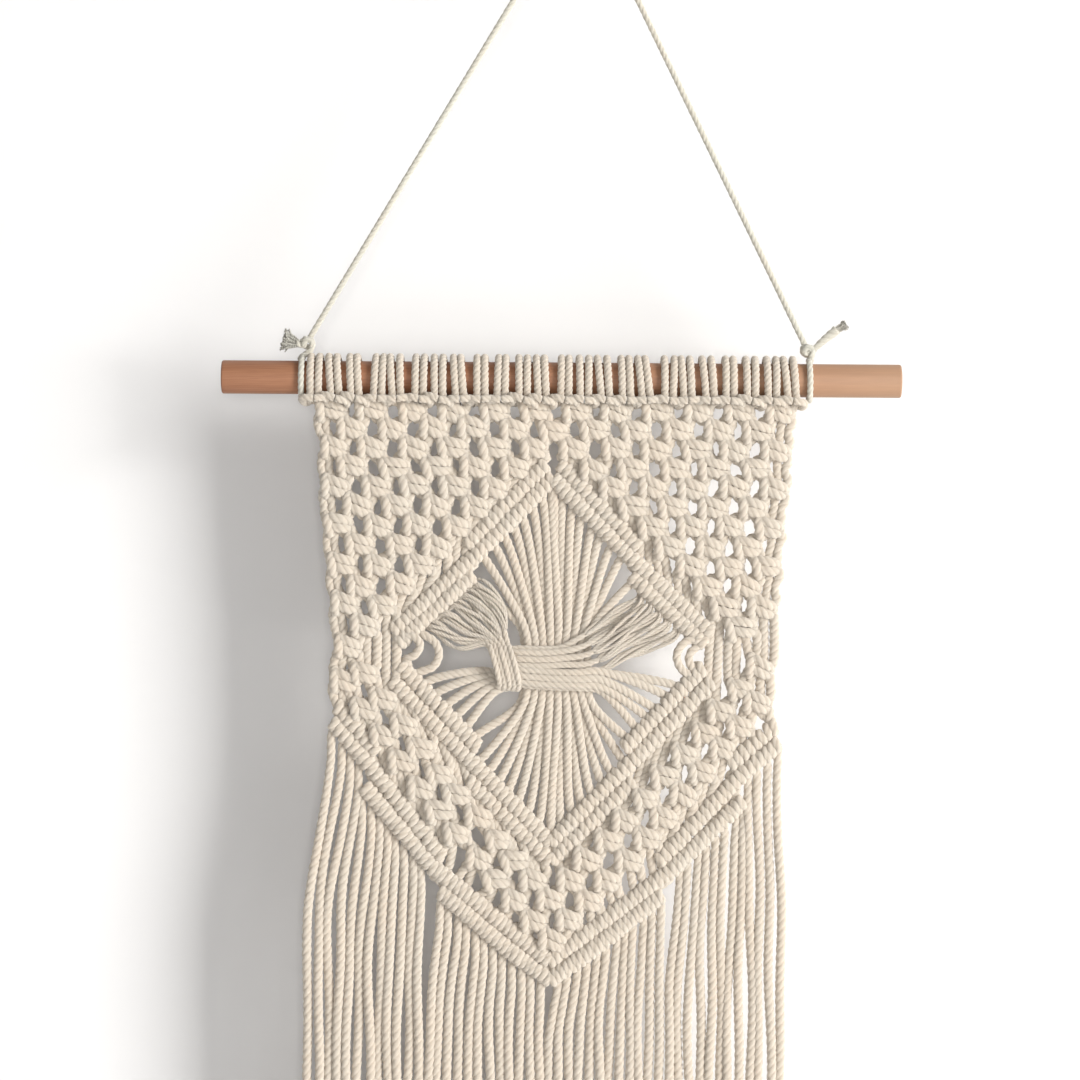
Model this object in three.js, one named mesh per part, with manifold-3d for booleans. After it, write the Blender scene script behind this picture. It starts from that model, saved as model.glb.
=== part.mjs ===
// A macrame wall hanging knotted from 48 cotton strands on a round wooden rod.
// Millimetres, +Z up. The front faces -Y and the wall would be on the +Y side.
// The origin is the underside of the top bend of the hanging cord, where a nail carries it.
import * as THREE from 'three';
import { mergeVertices } from 'three/addons/utils/BufferGeometryUtils.js';
import Module from 'manifold-3d';

const wasm = await Module();
wasm.setup();

// ---- driving dimensions ----
const GAP = 0.3; // clearance kept between pieces that touch
const STRAND = 4; // diameter of the three-ply cotton strand
const ROD_RADIUS = 8;
const ROD_LENGTH = 326;
const ROD_X = -8; // middle of the rod, beside the hanging point
const ROD_Z = -227; // rod centre below the hanging point
const ROD_EASE = 1;
const PANEL_X = -11.8; // centre line of the knotted panel
const PANEL_Y = -4; // middle plane of the panel, a little in front of the rod's centre
const HANGER = 3; // diameter of the hanging cord
const HANGER_BEND = 6; // radius of its bend over the nail
const STRANDS = 48;
const FRINGE_END = -780;

// ---- solids from meshes and back ----
function toSolid(geometry, merging = 1e-4) {
  const plain = geometry.index ? geometry.clone() : geometry;
  plain.deleteAttribute('normal');
  plain.deleteAttribute('uv');
  const merged = mergeVertices(plain, merging);
  return new wasm.Manifold(new wasm.Mesh({
    numProp: 3,
    vertProperties: new Float32Array(merged.attributes.position.array),
    triVerts: new Uint32Array(merged.index.array),
  }));
}

function toGeometry(solid) {
  const result = solid.getMesh();
  const geometry = new THREE.BufferGeometry();
  geometry.setAttribute('position', new THREE.Float32BufferAttribute(result.vertProperties, 3));
  geometry.setIndex(new THREE.BufferAttribute(new Uint32Array(result.triVerts), 1));
  return geometry;
}

const fuse = (solids) => wasm.Manifold.union(solids);

// Merges the slivers a join leaves, and fills the pockets it seals.
const SLIVER = 0.02;
const tidied = (solid) => fuse(
  toSolid(toGeometry(solid.simplify(SLIVER)), 1e-3).decompose().filter((body) => body.volume() > 0),
);

// A closed skin through rings of equal point count, with a flat fan at both ends.
function loft(rings) {
  const count = rings[0].length;
  const points = rings.flat();
  const faces = [];
  for (let ring = 0; ring + 1 < rings.length; ring++) {
    for (let i = 0; i < count; i++) {
      const a = ring * count + i;
      const b = ring * count + ((i + 1) % count);
      faces.push(a, b, b + count, a, b + count, a + count);
    }
  }
  const last = (rings.length - 1) * count;
  for (let i = 1; i + 1 < count; i++) {
    faces.push(0, i + 1, i, last, last + i, last + i + 1);
  }
  const geometry = new THREE.BufferGeometry();
  geometry.setAttribute('position', new THREE.Float32BufferAttribute(points.flatMap((p) => [p.x, p.y, p.z]), 3));
  geometry.setIndex(faces);
  const solid = toSolid(geometry);
  if (solid.volume() > 0) return solid;
  geometry.setIndex(faces.map((_, k) => faces[k - (k % 3) + 2 - (k % 3)]));
  return toSolid(geometry);
}

// A strand of four sides along a list of points in the panel's plane and depth.
function strand(points, width = STRAND * 0.86) {
  const rings = points.map((point, i) => {
    const before = points[Math.max(i - 1, 0)];
    const after = points[Math.min(i + 1, points.length - 1)];
    const along = new THREE.Vector3().subVectors(after, before).normalize();
    const side = new THREE.Vector3(along.z, 0, -along.x).normalize().multiplyScalar(width / 2);
    const out = new THREE.Vector3().crossVectors(along, side).normalize().multiplyScalar(width / 2);
    return [
      point.clone().add(side),
      point.clone().add(out),
      point.clone().sub(side),
      point.clone().sub(out),
    ];
  });
  return loft(rings);
}

// ---- knot chart ----
// Column 0 to 22 and row 1 to 26: a square knot takes strands 2 * column to 2 * column + 3.
const COLUMNS = 22;
const MIDDLE = COLUMNS / 2;
const BAND_ROW = 13; // row of the outermost knot at the side corners of the diamond
const LAST_UPPER_ROW = 12;
const DIAMOND_ROW = 3; // the diamond opens under this row
const ROW = { first: 15.6, pitch: 8.98, slack: 0.034 }; // depth below the rod centre
const COLUMN = { pitch: 9.77, narrowing: 0.066 };
const INNER_LINE = { first: 128.3, pitch: 11.76, slack: -0.096 }; // knots next to the diamond
const OUTER_LINE = { first: 149.3, pitch: 10.56 }; // knots next to the bottom V

function depthAt(column, row) {
  if (row < BAND_ROW) {
    const k = row - 1;
    return ROW.first + ROW.pitch * k + ROW.slack * k * k;
  }
  const fromSide = MIDDLE - Math.abs(column - MIDDLE);
  const share = (row - fromSide - BAND_ROW) / 2;
  const inner = INNER_LINE.first + INNER_LINE.pitch * fromSide + INNER_LINE.slack * fromSide * fromSide;
  const outer = OUTER_LINE.first + OUTER_LINE.pitch * fromSide;
  return inner + (outer - inner) * share;
}

function place(column, row, depth = 0) {
  const rows = Math.min(row, BAND_ROW) - 1;
  const pitch = COLUMN.pitch - COLUMN.narrowing * rows;
  return new THREE.Vector3(PANEL_X + pitch * (column - MIDDLE), PANEL_Y + depth, ROD_Z - depthAt(column, row));
}

function chart() {
  const knots = [];
  for (let row = 1; row <= LAST_UPPER_ROW; row++) {
    for (let column = (row + 1) % 2; column <= COLUMNS; column += 2) {
      if (row <= DIAMOND_ROW || Math.abs(column - MIDDLE) >= row - DIAMOND_ROW) knots.push({ column, row });
    }
  }
  for (const first of [BAND_ROW, BAND_ROW + 2]) {
    for (let column = 0; column <= COLUMNS; column++) {
      knots.push({ column, row: first + MIDDLE - Math.abs(column - MIDDLE) });
    }
  }
  return knots;
}

// ---- field of alternating square knots ----
const KNOT = { reach: 0.71, flat: 0.29, front: -4.3, rim: -1.35, back: 2.6, ridge: 0.42 };
const ROW_ONE_TOP = 0.31;
const SKIRT = { upper: 0.5, lower: 0.75, outer: 1.3, beside: 0.28, lean: 0.12 };

function knotOutline({ column, row }) {
  const { reach, flat } = KNOT;
  const top = row === 1 ? ROW_ONE_TOP : reach;
  return [
    [column + reach, row - flat], [column + reach, row + flat],
    [column + flat, row + reach], [column - flat, row + reach],
    [column - reach, row + flat], [column - reach, row - flat],
    [column - flat, row - top], [column + flat, row - top],
  ];
}

// Short runs of strand that leave a knot across one of its slanted edges, as one flat tongue.
function tongue(outline, from, to, [stepColumn, stepRow], reach) {
  const [a, b] = [outline[from], outline[to]];
  const shift = ([column, row]) => [column + stepColumn * reach, row + stepRow * reach];
  return [a, shift(a), shift(b), b];
}

function tonguesOf(knot, outline) {
  const out = [];
  const across = Math.abs(knot.column - MIDDLE);
  const leftSide = knot.column <= MIDDLE;
  const rightSide = knot.column >= MIDDLE;
  const fromSide = MIDDLE - across;
  if (knot.row >= DIAMOND_ROW && knot.row < LAST_UPPER_ROW && across === knot.row - DIAMOND_ROW + 1) {
    const reach = across > 1 ? SKIRT.upper : SKIRT.beside;
    out.push(leftSide ? tongue(outline, 1, 2, [1, 1], reach) : tongue(outline, 3, 4, [-1, 1], reach));
  }
  if (knot.row === BAND_ROW + fromSide && fromSide > 1 && across > 0) {
    const reach = across > 1 ? SKIRT.lower : SKIRT.beside;
    out.push(leftSide ? tongue(outline, 7, 0, [1, -1], reach) : tongue(outline, 5, 6, [-1, -1], reach));
  }
  if (knot.row === BAND_ROW + 2 && across === MIDDLE) {
    out.push(tongue(outline, 2, 3, [leftSide ? -SKIRT.lean : SKIRT.lean, 1], SKIRT.outer));
  } else if (knot.row === BAND_ROW + 2 + fromSide) {
    if (leftSide) out.push(tongue(outline, 3, 4, [-1, 1], SKIRT.outer));
    if (rightSide) out.push(tongue(outline, 1, 2, [1, 1], SKIRT.outer));
  }
  return out;
}

// The edge strands that float past an even row, as one web outside its first or last knot.
function edgeWeb(row, side) {
  const { reach, flat } = KNOT;
  const at = (offset, rowAt) => [side < 0 ? offset : COLUMNS - offset, rowAt];
  return [
    at(-reach, row - 1 + flat), at(-flat, row - 1 + reach), at(flat, row - flat),
    at(flat, row + flat), at(-flat, row + 1 - reach), at(-reach, row + 1 - flat), at(-0.5, row),
  ];
}

function field() {
  const cells = [];
  for (const knot of chart()) {
    const outline = knotOutline(knot);
    cells.push({ outline, knot });
    for (const piece of tonguesOf(knot, outline)) cells.push({ outline: piece });
  }
  for (let row = 2; row <= BAND_ROW + 1; row += 2) {
    for (const side of [-1, 1]) cells.push({ outline: edgeWeb(row, side) });
  }
  const points = [];
  const seen = new Map();
  const index = (column, row, depth) => {
    const key = `${column.toFixed(3)} ${row.toFixed(3)} ${depth}`;
    if (!seen.has(key)) {
      seen.set(key, points.length / 3);
      points.push(...place(column, row, depth).toArray());
    }
    return seen.get(key);
  };
  const edges = new Map();
  const faces = [];
  for (const { outline, knot } of cells) {
    const clockwise = THREE.ShapeUtils.area(outline.map(([c, r]) => new THREE.Vector2(c, -r))) < 0;
    const loop = clockwise ? [...outline].reverse() : outline;
    const front = loop.map(([c, r]) => index(c, r, KNOT.rim));
    const back = loop.map(([c, r]) => index(c, r, KNOT.back));
    for (let i = 1; i + 1 < loop.length; i++) faces.push(back[0], back[i + 1], back[i]);
    if (knot) {
      const west = index(knot.column - KNOT.ridge, knot.row, KNOT.front);
      const east = index(knot.column + KNOT.ridge, knot.row, KNOT.front);
      const peak = loop.map(([c]) => (c < knot.column ? west : east));
      for (let i = 0; i < loop.length; i++) {
        const next = (i + 1) % loop.length;
        faces.push(front[i], front[next], peak[i]);
        if (peak[i] !== peak[next]) faces.push(front[next], peak[next], peak[i]);
      }
    } else {
      for (let i = 1; i + 1 < loop.length; i++) faces.push(front[0], front[i], front[i + 1]);
    }
    for (let i = 0; i < loop.length; i++) {
      const next = (i + 1) % loop.length;
      edges.set(`${front[i]} ${front[next]}`, [front[i], front[next], back[next], back[i]]);
    }
  }
  for (const [a, b, c, d] of edges.values()) {
    if (!edges.has(`${b} ${a}`)) faces.push(b, a, d, b, d, c);
  }
  const geometry = new THREE.BufferGeometry();
  geometry.setAttribute('position', new THREE.Float32BufferAttribute(points, 3));
  geometry.setIndex(faces);
  return toSolid(geometry);
}

// ---- bars of double half hitches ----
const BAR = { half: 3.5, back: 3, high: -4.9, low: -3.7, ridge: 15 };

// Points of the bars, in mm outward from the panel's centre line and down from the rod centre.
const UPPER_BARS = [
  { name: 'first', edge: 2, points: [[3, 40.5], [41.3, 80.6]] },
  { name: 'long', edge: 2.5, points: [[0, 47.5], [39.8, 87.8], [76, 121.5]] },
  { name: 'second', edge: 2.1, points: [[37.9, 94], [73.5, 127]] },
];
const LOWER_BARS = [
  { name: 'first', edge: 2, points: [[73, 137.5], [35, 177.1]] },
  { name: 'long', edge: 2.5, points: [[77, 144.5], [38.9, 182.9], [0, 222.5]] },
  { name: 'second', edge: 2.1, points: [[39.8, 192.5], [0, 231]] },
];
const V_BARS = [
  { name: 'first', edge: 2, points: [[100.3, 164.2], [85, 180.5]] },
  { name: 'long upper', edge: 2.5, points: [[105.1, 169], [89.8, 184.8], [51.4, 230.4]] },
  { name: 'long lower', edge: 2.1, points: [[89.3, 198.7], [56.2, 235.2], [0, 279]] },
  { name: 'second', edge: 2.5, points: [[52.8, 246.2], [19, 274.2], [0, 288]] },
];

const acrossPanel = (side, [outward, down], depth = 0) => new THREE.Vector3(
  PANEL_X + side * outward, PANEL_Y + depth, ROD_Z - down);

function bar({ points, edge }, side) {
  const line = new THREE.CurvePath();
  for (let i = 0; i + 1 < points.length; i++) {
    line.add(new THREE.LineCurve3(acrossPanel(side, points[i]), acrossPanel(side, points[i + 1])));
  }
  const steps = 2 * Math.round(line.getLength() / BAR.ridge);
  const rings = line.getSpacedPoints(steps).map((point, i) => {
    const along = line.getTangentAt(i / steps);
    const across = new THREE.Vector3(-along.z, 0, along.x).multiplyScalar(BAR.half);
    const at = (share, depth) => point.clone().addScaledVector(across, share).add(new THREE.Vector3(0, depth, 0));
    return [
      at(-1, BAR.back), at(1, BAR.back), at(1, -edge),
      at(0, i % 2 ? BAR.high : BAR.low), at(-1, -edge),
    ];
  });
  return loft(rings);
}

// How far down the lowest of some bars lies at a distance outward from the centre line.
function lowestBar(table, outward) {
  const depths = table.flatMap(({ points }) => points.slice(1).map((b, i) => {
    const a = points[i];
    const t = (outward - a[0]) / (b[0] - a[0]);
    return t >= 0 && t <= 1 ? a[1] + (b[1] - a[1]) * t : -Infinity;
  }));
  return Math.max(...depths);
}

const barsOf = (table, sides = [-1, 1]) => table.flatMap((row) => sides.map((side) => bar(row, side)));

// ---- strands inside the diamond, and the knot of bundles at its middle ----
const INSIDE = 16; // strands on each side that cross the diamond
const CURLED = 2; // outermost of them, which curl straight from bar to bar
const BUNDLE = 5; // next ones, which tie the middle knot
const CENTRE = { down: 136.5, left: -17, right: 22, x: 2.4, waist: 16.5, layers: 2.2, strand: 3.1, bundle: 3.2 };
const CURL = 8; // how far the outermost strands curl in from the straight line

function pointOnSide(table, share) {
  const { points } = table.find(({ name }) => name === 'long');
  const outward = points[0][0] + (points[points.length - 1][0] - points[0][0]) * share;
  return [outward, lowestBar([{ points }], outward)];
}

function fans() {
  const solids = [];
  for (const side of [-1, 1]) {
    const entry = side < 0 ? CENTRE.left : CENTRE.right;
    for (let k = 0; k < INSIDE; k++) {
      const share = (k + 0.5) / INSIDE;
      const top = acrossPanel(side, pointOnSide(UPPER_BARS, share));
      const bottom = acrossPanel(side, pointOnSide(LOWER_BARS, 1 - share));
      const depth = CENTRE.layers * ((k + (side > 0)) % 2 ? 1 : -1);
      if (k >= INSIDE - CURLED) {
        const curl = new THREE.Vector3((top.x + bottom.x) / 2 - side * CURL, PANEL_Y, (top.z + bottom.z) / 2);
        solids.push(strand([top, curl, bottom], CENTRE.strand));
      } else if (k >= INSIDE - CURLED - BUNDLE) {
        const row = INSIDE - CURLED - 1 - k - (BUNDLE - 1) / 2;
        const knot = new THREE.Vector3(PANEL_X + entry, PANEL_Y - 3 + depth / 2, ROD_Z - CENTRE.down - row * CENTRE.bundle);
        solids.push(strand([top, knot], CENTRE.strand), strand([knot, bottom], CENTRE.strand));
      } else {
        const filler = (k + 0.5) / (INSIDE - CURLED - BUNDLE);
        const x = PANEL_X + CENTRE.x + side * CENTRE.waist * filler;
        const high = new THREE.Vector3(x, PANEL_Y + depth, ROD_Z - CENTRE.down + 9);
        const low = new THREE.Vector3(x, PANEL_Y + depth, ROD_Z - CENTRE.down - 9);
        solids.push(strand([top, high], CENTRE.strand), strand([low, bottom], CENTRE.strand));
      }
    }
  }
  return solids;
}

// Two passes of a bundle lie across the fillers, and the other bundle's bight stands over their left end.
const PASS = { height: 9.6, ridges: 3, valley: 6.4, crest: 7.8, end: 4.5, inner: 1.1 };
const PASSES = [
  { above: 4.5, side: -1, half: 20.5 },
  { above: -4.4, side: -1, half: 20.1 },
  { above: 4.3, side: 1, half: 19.6 },
  { above: -4.6, side: 1, half: 19.2 },
];
const BIGHT = { x: -23, half: 6, height: 15.5, front: -8.4, back: 3 };

function pass({ above, side, half }) {
  const middle = ROD_Z - CENTRE.down + above;
  const stops = [-1, -0.85, 0.85, 1];
  const rings = stops.map((stop) => {
    const flat = Math.abs(stop) === 1 ? PASS.end / PASS.crest : 1;
    const x = PANEL_X + CENTRE.x + half * stop;
    const inner = (share) => new THREE.Vector3(x, PANEL_Y - side * PASS.inner, middle + PASS.height * share);
    const ring = [inner(0.5)];
    for (let i = 0; i <= 2 * PASS.ridges; i++) {
      const z = middle + PASS.height * (0.5 - i / (2 * PASS.ridges));
      ring.push(new THREE.Vector3(x, PANEL_Y + side * flat * (i % 2 ? PASS.crest : PASS.valley), z));
    }
    ring.push(inner(-0.5));
    return ring;
  });
  return loft(rings);
}

function middleKnot() {
  const bight = new THREE.SphereGeometry(1, 10, 6);
  bight.scale(BIGHT.half, (BIGHT.back - BIGHT.front) / 2, BIGHT.height / 2);
  bight.translate(PANEL_X + BIGHT.x, PANEL_Y + (BIGHT.back + BIGHT.front) / 2, ROD_Z - CENTRE.down);
  return [...PASSES.map(pass), toSolid(bight)];
}

// Two strands a side pass outside the side corners of the diamond.
const OUTSIDE = [
  { first: [2.3, 11.4], bow: [2.15, 13.2], last: [2.0, 14.7] },
  { first: [2.75, 11.3], bow: [2.65, 13.0], last: [2.55, 14.4] },
];

function outsideStrands() {
  return OUTSIDE.flatMap(({ first, bow, last }) => [-1, 1].map((side) => strand(
    [first, bow, last].map(([column, row]) => place(side < 0 ? column : COLUMNS - column, row)))));
}

// ---- room that the V's bars and the fringe take, cut out of the knotted panel ----
const DEEP = 30;

function roomForV() {
  const clear = GAP * 1.3;
  const rooms = V_BARS.flatMap(({ points }) => [-1, 1].flatMap((side) => points.slice(1).map((b, i) => {
    const [from, to] = [acrossPanel(side, points[i]), acrossPanel(side, b)];
    const along = new THREE.Vector3().subVectors(to, from).normalize();
    const across = new THREE.Vector3(-along.z, 0, along.x).multiplyScalar(BAR.half + clear);
    const ends = [from.clone().addScaledVector(along, -clear), to.clone().addScaledVector(along, clear)];
    return loft(ends.map((end) => [[-1, DEEP], [1, DEEP], [1, -DEEP], [-1, -DEEP]].map(([share, depth]) => (
      end.clone().addScaledVector(across, share).add(new THREE.Vector3(0, depth, 0))))));
  })));
  const [first, upper, lower] = V_BARS.map(({ points }) => points);
  const centres = [first[0], first[1], upper[1], upper[2], lower[1], lower[2]];
  const outline = new THREE.Shape();
  outline.moveTo(-200, -first[0][1]);
  for (const [outward, down] of centres) outline.lineTo(-outward, -down);
  for (const [outward, down] of centres.slice(0, -1).reverse()) outline.lineTo(outward, -down);
  outline.lineTo(200, -first[0][1]);
  outline.lineTo(200, -400);
  outline.lineTo(-200, -400);
  const below = new THREE.ExtrudeGeometry(outline, { depth: 2 * DEEP, bevelEnabled: false });
  below.rotateX(Math.PI / 2);
  below.translate(PANEL_X, PANEL_Y + DEEP, ROD_Z);
  return fuse([toSolid(below), ...rooms]);
}

function knottedPanel() {
  const whole = fuse([
    field(), ...barsOf(UPPER_BARS), ...barsOf(LOWER_BARS), ...fans(), ...middleKnot(), ...outsideStrands(),
  ]);
  return tidied(whole.subtract(roomForV()));
}

// ---- fringe: each half hangs from its own bars of the V ----
const FRINGE = { spread: 1.07, wave: 1.1, uneven: 3, width: 3.5 };

function fringe(side) {
  const solids = barsOf(V_BARS, [side]);
  const half = STRANDS / 2;
  const outer = V_BARS[1].points[0][0];
  for (let k = 0; k < half; k++) {
    const outward = outer * (k + 0.5) / half;
    const end = FRINGE_END + FRINGE.uneven * Math.sin(k * 2.4 + side);
    const top = acrossPanel(side, [outward, lowestBar(V_BARS, outward) + 1]);
    const depth = k % 2 ? 0.8 : -0.8;
    const at = (share) => new THREE.Vector3(
      PANEL_X + side * outward * (1 + (FRINGE.spread - 1) * share) + FRINGE.wave * Math.sin(k * 1.9 + share * 5) * share,
      PANEL_Y + depth, top.z + (end - top.z) * share);
    solids.push(strand([top, at(0.12), at(0.55), at(1)], FRINGE.width));
  }
  const cut = new THREE.BoxGeometry(200, 60, 900);
  cut.translate(PANEL_X + side * (GAP / 2 - 100), PANEL_Y, ROD_Z - 300);
  return fuse(solids).subtract(toSolid(cut));
}

// ---- heading: 24 lark's heads, each two turns over the rod and a knuckle below ----
const TURN = { faces: 8, outer: ROD_RADIUS + GAP + STRAND, groove: 1.4, width: 8.2 };
TURN.inner = (ROD_RADIUS + GAP) / Math.cos(Math.PI / TURN.faces);
const KNUCKLE = { front: -12.6, back: -2.6, top: -6.6, bottom: -12.4, proud: 1.1 };
const HEAD = { first: -119.6, pitch: 9.95, jitter: 0.9 };

function headX(k) {
  return PANEL_X + 5.2 + HEAD.first + HEAD.pitch * k + HEAD.jitter * Math.sin(k * 2.7);
}

function larksHead(x) {
  const { inner, outer, groove, width } = TURN;
  const section = [[-width / 2, inner], [-width / 4, outer], [0, outer - groove], [width / 4, outer], [width / 2, inner]];
  const profile = section.map(([along, radius]) => new THREE.Vector2(radius, along));
  profile.push(profile[0].clone());
  const ring = new THREE.LatheGeometry(profile, TURN.faces);
  ring.rotateZ(-Math.PI / 2);
  ring.translate(x, 0, ROD_Z);
  return toSolid(ring);
}

// The row of knuckles under the rod: a ridge at the middle of each lark's head.
function knuckles() {
  const rings = [];
  const steps = STRANDS;
  const start = headX(0) - TURN.width / 2;
  const step = (headX(STRANDS / 2 - 1) + TURN.width / 2 - start) / steps;
  for (let k = 0; k <= steps; k++) {
    const front = KNUCKLE.front - (k % 2 ? KNUCKLE.proud : 0);
    const at = (y, z) => new THREE.Vector3(start + k * step, y, ROD_Z + z);
    rings.push([
      at(KNUCKLE.back, KNUCKLE.bottom), at(front, KNUCKLE.bottom + 1.5),
      at(front + 1.5, KNUCKLE.top), at(KNUCKLE.back, KNUCKLE.top - 3),
    ]);
  }
  return loft(rings);
}

const heading = () => fuse([...Array.from({ length: STRANDS / 2 }, (_, k) => larksHead(headX(k))), knuckles()]);

// ---- rod, hanging cord and its two ties ----
function rod() {
  const profile = [
    [0, -ROD_LENGTH / 2], [ROD_RADIUS - ROD_EASE, -ROD_LENGTH / 2], [ROD_RADIUS, -ROD_LENGTH / 2 + ROD_EASE],
    [ROD_RADIUS, ROD_LENGTH / 2 - ROD_EASE], [ROD_RADIUS - ROD_EASE, ROD_LENGTH / 2], [0, ROD_LENGTH / 2],
  ].map(([radius, along]) => new THREE.Vector2(radius, along));
  const geometry = new THREE.LatheGeometry(profile, 28);
  geometry.rotateZ(-Math.PI / 2);
  return geometry;
}

// Each tie: its turn round the rod, its knot above, and a free end that widens as it frays.
const TURN_RADIUS = ROD_RADIUS + GAP + HANGER / 2;
const TIES = {
  left: {
    turn: -132.7, knot: [-130.7, -211.2], size: [3.8, 3.2, 3], lean: 0.2,
    tail: [{ x: -131.5, z: -211.6, wide: 1.5 }, { x: -136.5, z: -210.8, wide: 3 }, { x: -142.5, z: -210.4, wide: 4.4 }],
  },
  right: {
    turn: 111, knot: [110.4, -213.4], size: [3.1, 3.2, 3.4], lean: 0.55,
    tail: [{ x: 110, z: -213, wide: 1.5 }, { x: 116, z: -208, wide: 1.8 }, { x: 129, z: -199.4, wide: 3 }],
  },
};
const CORD_START = 0.35; // space between the knot and the hanging cord's end
const BEND_POINTS = 8;

// The route of the hanging cord: knot, straight run, bend over the nail, straight run, knot.
function hangerRoute() {
  const above = ({ knot: [x, z], size }) => new THREE.Vector3(
    x * (1 - (size[2] / -z)), 0, z + size[2] + CORD_START);
  const [start, end] = [above(TIES.left), above(TIES.right)];
  const radius = HANGER_BEND + HANGER / 2;
  const nail = new THREE.Vector3(0, 0, -HANGER_BEND);
  const tangent = (from, side) => {
    const away = new THREE.Vector3().subVectors(from, nail);
    const reach = Math.acos(radius / away.length());
    return Math.atan2(away.z, away.x) + side * reach;
  };
  const [leftAngle, rightAngle] = [tangent(start, -1), tangent(end, 1)];
  const onBend = (angle) => new THREE.Vector3(
    nail.x + radius * Math.cos(angle), 0, nail.z + radius * Math.sin(angle));
  const sweep = ((leftAngle - rightAngle) % (2 * Math.PI) + 2 * Math.PI) % (2 * Math.PI);
  const bend = Array.from({ length: BEND_POINTS }, (_, i) => onBend(leftAngle - (sweep * i) / (BEND_POINTS - 1)));
  return [start, ...bend, end];
}

// A round cord of eight sides along a route in the plane of the hanging.
function cord(route, diameter) {
  const rings = route.map((point, i) => {
    const before = route[Math.max(i - 1, 0)];
    const after = route[Math.min(i + 1, route.length - 1)];
    const along = new THREE.Vector3().subVectors(after, before).normalize();
    const across = new THREE.Vector3(-along.z, 0, along.x);
    return Array.from({ length: 8 }, (_, k) => point.clone()
      .addScaledVector(across, (diameter / 2) * Math.cos((Math.PI * k) / 4))
      .add(new THREE.Vector3(0, (diameter / 2) * Math.sin((Math.PI * k) / 4), 0)));
  });
  return loft(rings);
}

function tie({ turn, knot, size, lean, tail }) {
  const ring = new THREE.TorusGeometry(TURN_RADIUS, HANGER / 2, 6, 18);
  ring.rotateY(Math.PI / 2);
  ring.translate(turn, 0, ROD_Z);
  const lump = new THREE.SphereGeometry(1, 8, 5);
  lump.scale(...size);
  lump.translate(knot[0], 0, knot[1]);
  const hexagon = (x, y, z, wide, tilt) => Array.from({ length: 6 }, (_, k) => {
    const angle = (Math.PI * k) / 3;
    return new THREE.Vector3(
      x - wide * Math.cos(angle) * tilt, y + wide * 0.6 * Math.sin(angle), z + wide * Math.cos(angle));
  });
  const end = loft(tail.map(({ x, z, wide }, i) => hexagon(x, -0.5 * i, z, wide, lean)));
  const neck = strand([
    new THREE.Vector3(turn, 0, ROD_Z + TURN_RADIUS), new THREE.Vector3(knot[0] * 0.3 + turn * 0.7, 0, knot[1]),
  ], HANGER);
  return fuse([toSolid(ring), toSolid(lump), end, neck]);
}

// ---- materials and the assembled group ----
const cotton = new THREE.MeshStandardMaterial({ color: 0xe1d7c6, roughness: 0.95, metalness: 0 });
const wood = new THREE.MeshStandardMaterial({ color: 0xb07a5c, roughness: 0.6, metalness: 0 });

const hanging = new THREE.Group();

function add(name, geometry, material, position = [0, 0, 0]) {
  const mesh = new THREE.Mesh(geometry, material);
  mesh.name = name;
  mesh.position.set(...position);
  hanging.add(mesh);
}

add('rod', rod(), wood, [ROD_X, 0, ROD_Z]);
add('hanging_cord', toGeometry(cord(hangerRoute(), HANGER)), cotton);
add('tie_left', toGeometry(tie(TIES.left)), cotton);
add('tie_right', toGeometry(tie(TIES.right)), cotton);
add('heading', toGeometry(heading()), cotton);
add('knotted_panel', toGeometry(knottedPanel()), cotton);
add('fringe_left', toGeometry(fringe(-1)), cotton);
add('fringe_right', toGeometry(fringe(1)), cotton);

export default hanging;
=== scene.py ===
import math
import bmesh
import bpy
import numpy as np
from mathutils import Matrix, Vector


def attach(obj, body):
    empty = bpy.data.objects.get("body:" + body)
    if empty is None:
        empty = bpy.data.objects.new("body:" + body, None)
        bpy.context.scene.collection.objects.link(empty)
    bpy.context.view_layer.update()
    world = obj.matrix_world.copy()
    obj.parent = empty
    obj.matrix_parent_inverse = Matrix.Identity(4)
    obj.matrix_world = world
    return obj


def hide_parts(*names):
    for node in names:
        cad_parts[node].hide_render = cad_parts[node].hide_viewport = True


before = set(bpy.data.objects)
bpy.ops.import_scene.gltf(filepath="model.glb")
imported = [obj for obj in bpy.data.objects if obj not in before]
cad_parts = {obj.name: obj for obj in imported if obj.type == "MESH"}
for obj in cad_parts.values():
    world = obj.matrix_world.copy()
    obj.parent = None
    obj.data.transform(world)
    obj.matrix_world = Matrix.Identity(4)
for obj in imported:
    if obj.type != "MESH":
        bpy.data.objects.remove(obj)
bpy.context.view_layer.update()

# ---- camera ----
# A long lens at 1.8 m, level with the middle of what shows, and rolled a third of a
# degree because the hanging itself tilts that much on its nail.
FRAME_MM = 518.4  # the width seen at the hanging
CAMERA_AWAY = 1800
VIEW_MIDDLE = {"x": -0.0178, "z": -0.3043}
CAMERA_ROLL = -0.38
SENSOR = 36


def placed(name, data):
    """A new object of the scene."""
    made = bpy.data.objects.new(name, data)
    bpy.context.scene.collection.objects.link(made)
    return made


lens = bpy.data.cameras.new("camera")
lens.sensor_width = SENSOR
lens.lens = SENSOR * CAMERA_AWAY / FRAME_MM
lens.clip_start, lens.clip_end = 0.05, 30
camera = placed("camera", lens)
camera.location = (VIEW_MIDDLE["x"], -CAMERA_AWAY / 1000, VIEW_MIDDLE["z"])
camera.rotation_euler = (math.radians(90), math.radians(CAMERA_ROLL), 0)
bpy.context.scene.camera = camera

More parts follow.
